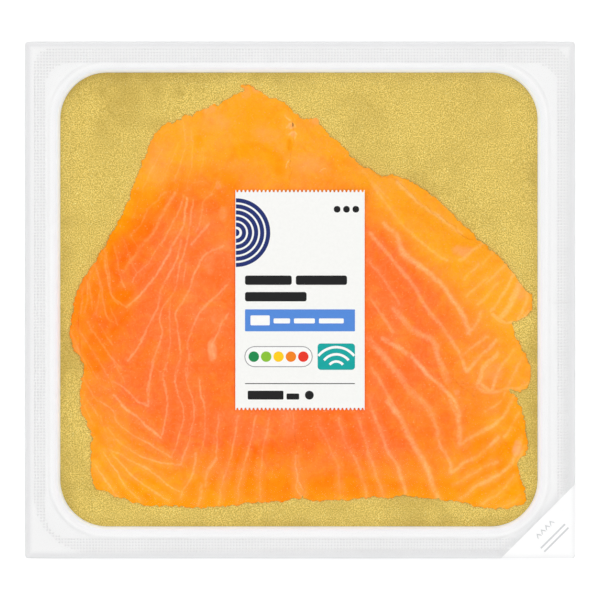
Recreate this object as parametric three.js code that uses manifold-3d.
// A flat pack of smoked salmon: a shallow formed plastic tray with a knurled seal band, a gold board in its pocket,
// two layers of thin salmon slices on the board, a clear film drawn down over them, a paper label with pinked ends
// on the film, and an unsealed corner to peel the film by.
// Millimetres. +X is to the right of the label, +Y to its head, +Z up. The origin is under the middle of the pack.
import * as THREE from "three";
import { mergeVertices } from "three/addons/utils/BufferGeometryUtils.js";
import Module from "manifold-3d";

// Tray
const PACK_WIDTH = 200;
const PACK_DEPTH = 188;
const PACK_CORNER = 1.2;
const SHEET = 0.6; // thickness of the formed plastic
const FLANGE_TOP = 6.2;
const RIM_RISE = 0.6; // how far the smooth rim stands above the flange

// Pocket, as seen at the edge of the gold board
const POCKET = { x: -0.4, y: 0.2, width: 173.5, depth: 165, corner: 17 };
const SMALLEST_CORNER = 0.5;
const RIM_FOOT = 5; // distances outwards from the pocket's edge
const RIM_CREST = 3.4;
const WALL_MIDDLE = 1.5;
const WALL_FOOT = 0.4;
const CREST_HALF_WIDTH = 0.9;
const CREST_ROUNDING = 0.25; // how far the crest's two shoulders lie below it
const WALL_MIDDLE_DROP = 1.6; // below the flange

// Contents
const BOARD = 0.6;
const SLICE = 3; // full thickness of a slice
const EDGE_SHARE = 0.5; // share of that thickness at a slice's edge
const EDGE_WIDTH = 7; // width of the thinning edge
const THINNEST_SHARE = 0.35;
const SLICE_GRID = 3.6; // spacing of the points that give an upper slice its uneven faces
const SINK_START = 5.2; // distances past the under slices between which the upper ones sink to the board
const SINK_END = 11;
const OUTLINE_STEPS = 3; // steps along a slice's edge for each point that it passes through
const BAND_DEPTH = 0.15; // the soft bands of muscle across a slice
const BAND_PITCH_X = 28;
const BAND_PITCH_Y = 107;

// Film, label and peel corner
const FILM = 0.25;
const GAP = 0.3; // between the film and what it covers
const SLOPE_START = 13; // distances past the under slices between which the film follows the upper ones down
const SLOPE_END = 30;
const DRAPE_START = 6; // distances past all the fish between which the film sinks to the board
const DRAPE_END = 26;
const WALL_SLOPE = 9; // the film slopes down from the rim's crest to this far inside the pocket's edge
const FILM_INSETS = [62, 48, 36, 27, 19, 12, 6]; // rings of points in the film, inwards from the pocket's edge
const FILM_MARGIN = 5; // how far the block that cuts the film's corner stands out of the pack
const LABEL = { width: 47, depth: 80, thickness: 0.25, teeth: 32, toothDepth: 0.7 };
const PEEL = { leg: 27, thickness: 0.5, corner: 1.8 };

// Steps round each corner of the tray and the film, which have to match, and along each straight side of the film
const CORNER_STEPS = 8;
const FILM_SIDE_STEPS = 8;
const MERGE_DISTANCE = 1e-4; // points of a mesh that lie as near as this are one

const FLOOR_TOP = SHEET;
const BOARD_TOP = FLOOR_TOP + BOARD;
const UNDER_TOP = BOARD_TOP + SLICE;
const FISH_TOP = UNDER_TOP + SLICE;
const FILM_LEVEL = FISH_TOP + GAP;

// Edges of the slices, anticlockwise from the seam's upper end, as points of a smooth closed curve
const LEFT_SLICE = [
  [-5, 71], [-11.5, 73.5], [-17.5, 78], [-20.5, 78], [-20.5, 75.5], [-29.5, 71], [-41.5, 66.5], [-50.5, 62],
  [-54.5, 55.5], [-58.5, 46.5], [-63.5, 34.5], [-65.5, 28], [-71, 17.5], [-77, 6.5], [-80, -3], [-80.5, -10],
  [-80, -18], [-78.5, -26], [-79.5, -31], [-79.5, -39.5], [-76, -48.5], [-76, -57.5], [-74.5, -67.5], [-66, -71.5],
  [-58, -74.5], [-47, -75], [-33.5, -75.5], [-21, -74], [-5.5, -73], [0, -72], [1.5, -70], [-0.5, -65.5],
  [-1.5, -56.5], [-2.5, -41], [-4, 49], [-2.5, 62.5],
];
const RIGHT_SLICE = [
  [-2, 62.5], [-3.5, 49], [-2, -41], [-1, -56.5], [0, -65.5], [2, -70], [3, -72], [17, -72.5], [36.5, -71.5],
  [49, -72], [58.5, -73.5], [70, -76], [77, -75.5], [82, -73.5], [79.5, -62], [79.5, -58.5], [82, -55.5],
  [82.5, -48], [79, -36.5], [76, -32.5], [80.5, -33], [83.5, -30.5], [83.5, -24.5], [80.5, -17.5], [77, -10],
  [77, -8], [82.5, -5.5], [84.5, 0], [80, 6.5], [73.5, 14.5], [66.5, 19.5], [59, 23.5], [53, 29], [44, 35],
  [36, 42.5], [29, 43.5], [22.5, 48], [18.5, 52.5], [9.5, 61], [6, 66], [2.5, 65], [0, 67], [-3, 68], [-4, 70],
];
// The under slices show as a narrow border at the far left and along the upper right
const LEFT_UNDER_SLICE = [
  [-6, 53], [-28, 54], [-44, 45], [-58, 31], [-71, 19], [-79, 6.5], [-82, -1.5], [-83.5, -9.5], [-82.5, -17.5],
  [-77, -24], [-68, -32], [-62, -46], [-52, -57], [-30, -61], [-6, -58], [-6, 0],
];
const RIGHT_UNDER_SLICE = [
  [3, 53], [3, 0], [4, -57], [36, -59], [58, -58], [66, -44], [64, -26], [64, -8], [70, 6], [74, 13.5],
  [66.5, 20.5], [56.5, 30.5], [49, 37.5], [40, 43], [33.5, 45.5], [30.5, 44.5], [26, 47.5], [14, 51],
];
// Folds in the right slice, from the edge inwards: the part above each fold lies over the part below it
const FOLDS = [
  [[77, -9], [70, -4]],
  [[76, -32.5], [57, -30]],
  [[79.5, -60], [74, -51]],
];
const FOLD_HEIGHT = 0.45;
const FOLD_REACH = 6;

const wasm = await Module();
wasm.setup();

// A geometry as a manifold-3d solid, and back.
function toSolid(geometry) {
  const bare = geometry.clone();
  bare.deleteAttribute("normal");
  bare.deleteAttribute("uv");
  const merged = mergeVertices(bare, MERGE_DISTANCE);
  return new wasm.Manifold(
    new wasm.Mesh({
      numProp: 3,
      vertProperties: merged.attributes.position.array,
      triVerts: new Uint32Array(merged.index.array),
    }),
  );
}

function toGeometry(solid) {
  const mesh = solid.getMesh();
  const geometry = new THREE.BufferGeometry();
  geometry.setAttribute("position", new THREE.BufferAttribute(mesh.vertProperties, 3));
  geometry.setIndex(new THREE.BufferAttribute(mesh.triVerts, 1));
  return geometry;
}

const smoothstep = THREE.MathUtils.smoothstep;

// Points round a rectangle with round corners, anticlockwise: every ring with the same steps has as many points.
function ringPoints(box, cornerSteps, sideSteps) {
  const points = [];
  const reachX = box.width / 2 - box.corner;
  const reachY = box.depth / 2 - box.corner;
  const centres = [[reachX, reachY], [-reachX, reachY], [-reachX, -reachY], [reachX, -reachY]];
  centres.forEach(([centreX, centreY], quarter) => {
    for (let step = 0; step <= cornerSteps; step++) {
      const angle = ((quarter + step / cornerSteps) * Math.PI) / 2;
      const x = box.x + centreX + box.corner * Math.cos(angle);
      const y = box.y + centreY + box.corner * Math.sin(angle);
      points.push(new THREE.Vector2(x, y));
    }
    const [nextX, nextY] = centres[(quarter + 1) % 4];
    const turned = ((quarter + 1) * Math.PI) / 2;
    const start = points[points.length - 1].clone();
    const end = new THREE.Vector2(box.x + nextX, box.y + nextY);
    end.x += box.corner * Math.cos(turned);
    end.y += box.corner * Math.sin(turned);
    for (let step = 1; step < sideSteps; step++) {
      points.push(start.clone().lerp(end, step / sideSteps));
    }
  });
  return points;
}

// The pocket's outline moved outwards, or inwards where the distance is negative.
function aroundPocket(distance) {
  return {
    x: POCKET.x,
    y: POCKET.y,
    width: POCKET.width + 2 * distance,
    depth: POCKET.depth + 2 * distance,
    corner: Math.max(POCKET.corner + distance, SMALLEST_CORNER),
  };
}

const PACK_OUTLINE = { x: 0, y: 0, width: PACK_WIDTH, depth: PACK_DEPTH, corner: PACK_CORNER };

// A closed solid through rings of points, from the middle of its upper face out to its edge and back underneath.
// A ring's height is a number or a function of x and y. The underside's rings are the upper ones in turn, and both
// faces are split into triangles along the same diagonals, so that a thin sheet is as thick all over.
function loftSolid(rings, cornerSteps, sideSteps) {
  const positions = [];
  const heightAt = (ring, x, y) => (typeof ring.z === "function" ? ring.z(x, y) : ring.z);
  for (const ring of rings) {
    for (const point of ringPoints(ring.outline, cornerSteps, sideSteps)) {
      positions.push(point.x, point.y, heightAt(ring, point.x, point.y));
    }
  }
  const count = positions.length / 3 / rings.length;
  const index = [];
  for (let ring = 0; ring + 1 < rings.length; ring++) {
    for (let i = 0; i < count; i++) {
      const next = (i + 1) % count;
      const a = ring * count + i;
      const b = ring * count + next;
      if (ring < rings.length / 2) {
        index.push(a, a + count, b, b, a + count, b + count);
      } else {
        index.push(a, a + count, b + count, a, b + count, b);
      }
    }
  }
  const first = rings[0];
  const last = rings[rings.length - 1];
  const topMiddle = positions.length / 3;
  positions.push(first.outline.x, first.outline.y, heightAt(first, first.outline.x, first.outline.y));
  positions.push(last.outline.x, last.outline.y, heightAt(last, last.outline.x, last.outline.y));
  for (let i = 0; i < count; i++) {
    const next = (i + 1) % count;
    const lastRing = (rings.length - 1) * count;
    index.push(topMiddle, i, next);
    index.push(topMiddle + 1, lastRing + next, lastRing + i);
  }
  const geometry = new THREE.BufferGeometry();
  geometry.setAttribute("position", new THREE.Float32BufferAttribute(positions, 3));
  geometry.setIndex(index);
  return geometry;
}

// Upper surface of the tray outside the pocket floor, from the pocket's edge outwards.
const TRAY_PROFILE = [
  { distance: WALL_FOOT, z: FLOOR_TOP },
  { distance: WALL_MIDDLE, z: FLANGE_TOP - WALL_MIDDLE_DROP },
  { distance: RIM_CREST - CREST_HALF_WIDTH, z: FLANGE_TOP + RIM_RISE - CREST_ROUNDING },
  { distance: RIM_CREST, z: FLANGE_TOP + RIM_RISE },
  { distance: RIM_CREST + CREST_HALF_WIDTH, z: FLANGE_TOP + RIM_RISE - CREST_ROUNDING },
  { distance: RIM_FOOT, z: FLANGE_TOP },
];

function makeTray() {
  const top = TRAY_PROFILE.map(({ distance, z }) => ({ outline: aroundPocket(distance), z }));
  const underside = TRAY_PROFILE.map(({ distance, z }) => ({
    outline: aroundPocket(distance + (z < FLANGE_TOP ? SHEET : 0)),
    z: z - SHEET,
  })).reverse();
  const edge = [
    { outline: PACK_OUTLINE, z: FLANGE_TOP },
    { outline: PACK_OUTLINE, z: FLANGE_TOP - SHEET },
  ];
  return loftSolid([...top, ...edge, ...underside], CORNER_STEPS, 1);
}

function makeBoard() {
  const shape = new THREE.Shape(ringPoints(aroundPocket(0), CORNER_STEPS, 1));
  return new THREE.ExtrudeGeometry(shape, { depth: BOARD, bevelEnabled: false }).translate(0, 0, FLOOR_TOP);
}

// A slice's edge as a closed polyline.
function sliceOutline(controlPoints) {
  const corners = controlPoints.map(([x, y]) => new THREE.Vector3(x, y, 0));
  const curve = new THREE.CatmullRomCurve3(corners, true, "centripetal");
  const steps = controlPoints.length * OUTLINE_STEPS;
  const points = [];
  for (let i = 0; i < steps; i++) {
    const point = curve.getPoint(i / steps);
    points.push(new THREE.Vector2(point.x, point.y));
  }
  return points;
}

function distanceToSegment(x, y, from, to) {
  const alongX = to.x - from.x;
  const alongY = to.y - from.y;
  const share = ((x - from.x) * alongX + (y - from.y) * alongY) / (alongX * alongX + alongY * alongY);
  const t = Math.min(Math.max(share, 0), 1);
  return Math.hypot(x - from.x - t * alongX, y - from.y - t * alongY);
}

function distanceToOutline(x, y, outline) {
  let nearest = Infinity;
  outline.forEach((point, i) => {
    nearest = Math.min(nearest, distanceToSegment(x, y, point, outline[(i + 1) % outline.length]));
  });
  return nearest;
}

function isInside(x, y, outline) {
  let inside = false;
  outline.forEach((a, i) => {
    const b = outline[(i + 1) % outline.length];
    if (a.y > y !== b.y > y && x < ((b.x - a.x) * (y - a.y)) / (b.y - a.y) + a.x) inside = !inside;
  });
  return inside;
}

// A slice lies lower below each fold and rises to a lip above it.
function foldRelief(x, y) {
  let relief = 0;
  for (const [outer, inner] of FOLDS) {
    const from = new THREE.Vector2(...outer);
    const to = new THREE.Vector2(...inner);
    const away = distanceToSegment(x, y, from, to);
    const above = (from.x - to.x) * (y - to.y) - (from.y - to.y) * (x - to.x) > 0;
    const fade = 1 - smoothstep(away, 0, FOLD_REACH);
    relief += (above ? 0 : -2 * FOLD_HEIGHT) * fade;
  }
  return relief;
}

// Soft bands of muscle across a slice.
function fleshRelief(x, y) {
  return -BAND_DEPTH * (1 + Math.sin(2 * Math.PI * (x / BAND_PITCH_X + y / BAND_PITCH_Y)));
}

// The distance from a place to the nearest of some outlines, 0 inside any of them.
function distanceOutside(x, y, outlines) {
  const distances = outlines.map((outline) => (isInside(x, y, outline) ? 0 : distanceToOutline(x, y, outline)));
  return Math.min(...distances);
}

const underOutlines = [LEFT_UNDER_SLICE, RIGHT_UNDER_SLICE].map(sliceOutline);
const fishOutlines = [LEFT_SLICE, RIGHT_SLICE, LEFT_UNDER_SLICE, RIGHT_UNDER_SLICE].map(sliceOutline);

// An under slice lies flat on the board.
function makeUnderSlice(controlPoints) {
  const shape = new THREE.Shape(sliceOutline(controlPoints));
  return new THREE.ExtrudeGeometry(shape, { depth: SLICE, bevelEnabled: false }).translate(0, 0, BOARD_TOP);
}

// Underside of the upper slices: level on the under slices, sinking to the board past them.
function upperBottom(x, y) {
  const away = distanceOutside(x, y, underOutlines);
  return THREE.MathUtils.lerp(UNDER_TOP, BOARD_TOP, smoothstep(away, SINK_START, SINK_END));
}

// Upper face of a slice with the given outline, thinning towards its edge.
function upperTop(x, y, outline) {
  const inwards = isInside(x, y, outline) ? distanceToOutline(x, y, outline) : 0;
  const share = EDGE_SHARE + (1 - EDGE_SHARE) * smoothstep(inwards, 0, EDGE_WIDTH);
  const lowered = fleshRelief(x, y) + foldRelief(x, y);
  return upperBottom(x, y) + Math.max(SLICE * share + lowered, SLICE * THINNEST_SHARE);
}

// An upper slice: a slab whose two faces are uneven, cut to the slice's outline.
function makeUpperSlice(controlPoints) {
  const outline = sliceOutline(controlPoints);
  const box = new THREE.Box2().setFromPoints(outline).expandByScalar(SLICE_GRID / 2);
  const size = box.getSize(new THREE.Vector2());
  const middle = box.getCenter(new THREE.Vector2());
  const steps = [Math.round(size.x / SLICE_GRID), Math.round(size.y / SLICE_GRID)];
  const slab = new THREE.BoxGeometry(size.x, size.y, SLICE, ...steps, 1).translate(middle.x, middle.y, 0);
  const position = slab.attributes.position;
  for (let i = 0; i < position.count; i++) {
    const x = position.getX(i);
    const y = position.getY(i);
    position.setZ(i, position.getZ(i) > 0 ? upperTop(x, y, outline) : upperBottom(x, y));
  }
  const shape = new THREE.Shape(outline);
  const prism = new THREE.ExtrudeGeometry(shape, { depth: FISH_TOP, bevelEnabled: false });
  prism.translate(0, 0, BOARD_TOP / 2);
  return toGeometry(toSolid(slab).intersect(toSolid(prism)));
}

// Underside of the film at a distance inside the pocket's edge: level over the under slices, following the upper ones
// down past them, and sinking to the board well clear of all the fish and of the rim.
function drapeHeight(x, y, inset) {
  const pastUnder = distanceOutside(x, y, underOutlines);
  const pastFish = distanceOutside(x, y, fishOutlines);
  const lowLevel = BOARD_TOP + SLICE + 2 * GAP;
  const overFish = THREE.MathUtils.lerp(FILM_LEVEL, lowLevel, smoothstep(pastUnder, SLOPE_START, SLOPE_END));
  const drawnDown = THREE.MathUtils.lerp(overFish, BOARD_TOP + GAP, smoothstep(pastFish, DRAPE_START, DRAPE_END));
  const overRim = FLANGE_TOP + RIM_RISE + GAP;
  return THREE.MathUtils.lerp(overRim, drawnDown, smoothstep(inset, -RIM_CREST, WALL_SLOPE));
}

// One face of the film, as rings of points from the middle of the pocket out to the pack's edge.
function filmRings(lift) {
  const overPocket = FILM_INSETS.map((inset) => ({
    outline: aroundPocket(-inset),
    z: (x, y) => drapeHeight(x, y, inset) + lift,
  }));
  const overRim = TRAY_PROFILE.map(({ distance, z }) => ({
    outline: aroundPocket(distance),
    z: (x, y) => {
      const clear = z + (distance < RIM_FOOT ? GAP : 0);
      return (distance < RIM_CREST ? Math.max(clear, drapeHeight(x, y, -distance)) : clear) + lift;
    },
  }));
  return [...overPocket, ...overRim, { outline: PACK_OUTLINE, z: FLANGE_TOP + lift }];
}

// The triangle at the pack's lower right corner, with the corner itself rounded.
function cornerTriangle() {
  const right = PACK_WIDTH / 2;
  const low = -PACK_DEPTH / 2;
  const shape = new THREE.Shape();
  shape.moveTo(right, low + PEEL.leg);
  shape.lineTo(right - PEEL.leg, low);
  shape.lineTo(right - PEEL.corner, low);
  shape.absarc(right - PEEL.corner, low + PEEL.corner, PEEL.corner, -Math.PI / 2, 0, false);
  shape.closePath();
  return shape;
}

function makeFilm() {
  const sheet = loftSolid([...filmRings(FILM), ...filmRings(0).reverse()], CORNER_STEPS, FILM_SIDE_STEPS);
  const right = PACK_WIDTH / 2 + FILM_MARGIN;
  const low = -PACK_DEPTH / 2 - FILM_MARGIN;
  const reach = PEEL.leg + 2 * FILM_MARGIN + GAP * Math.SQRT2;
  const cut = new THREE.Shape([
    new THREE.Vector2(right, low + reach),
    new THREE.Vector2(right - reach, low),
    new THREE.Vector2(right, low),
  ]);
  const options = { depth: 2 * FILM_MARGIN, bevelEnabled: false };
  const block = new THREE.ExtrudeGeometry(cut, options).translate(0, 0, FLANGE_TOP - FILM_MARGIN);
  return toGeometry(toSolid(sheet).subtract(toSolid(block)));
}

function makePeelCorner() {
  const options = { depth: PEEL.thickness, bevelEnabled: false, curveSegments: 6 };
  return new THREE.ExtrudeGeometry(cornerTriangle(), options).translate(0, 0, FLANGE_TOP);
}

// A paper rectangle whose two short ends are pinked.
function makeLabel() {
  const pitch = LABEL.width / LABEL.teeth;
  const points = [];
  for (const end of [1, -1]) {
    for (let i = 0; i <= LABEL.teeth * 2; i++) {
      const x = end * (LABEL.width / 2 - (i * pitch) / 2);
      const cut = i % 2 ? 0 : LABEL.toothDepth;
      points.push(new THREE.Vector2(x, end * (LABEL.depth / 2 - cut)));
    }
  }
  const options = { depth: LABEL.thickness, bevelEnabled: false };
  return new THREE.ExtrudeGeometry(new THREE.Shape(points), options).translate(0, 0, FILM_LEVEL + FILM);
}

const MATERIALS = {
  plastic: { color: 0xf1f1ef, roughness: 0.4, metalness: 0 },
  gold: { color: 0xdcc265, roughness: 0.45, metalness: 0.8 },
  salmon: { color: 0xfb7a3c, roughness: 0.45, metalness: 0 },
  underSalmon: { color: 0xf58a2a, roughness: 0.45, metalness: 0 },
  film: { color: 0xf7f9fa, roughness: 0.12, metalness: 0, transparent: true, opacity: 0.25 },
  paper: { color: 0xf9f9f7, roughness: 0.8, metalness: 0 },
  tab: { color: 0xfcfcfc, roughness: 0.5, metalness: 0 },
};

const pack = new THREE.Group();

function addPiece(name, geometry, material) {
  const mesh = new THREE.Mesh(geometry, new THREE.MeshStandardMaterial(MATERIALS[material]));
  mesh.name = name;
  pack.add(mesh);
}

addPiece("tray", makeTray(), "plastic");
addPiece("gold_board", makeBoard(), "gold");
addPiece("slice_left_under", makeUnderSlice(LEFT_UNDER_SLICE), "underSalmon");
addPiece("slice_right_under", makeUnderSlice(RIGHT_UNDER_SLICE), "underSalmon");
addPiece("slice_left", makeUpperSlice(LEFT_SLICE), "salmon");
addPiece("slice_right", makeUpperSlice(RIGHT_SLICE), "salmon");
addPiece("top_film", makeFilm(), "film");
addPiece("label", makeLabel(), "paper");
addPiece("peel_corner", makePeelCorner(), "tab");

export default pack;
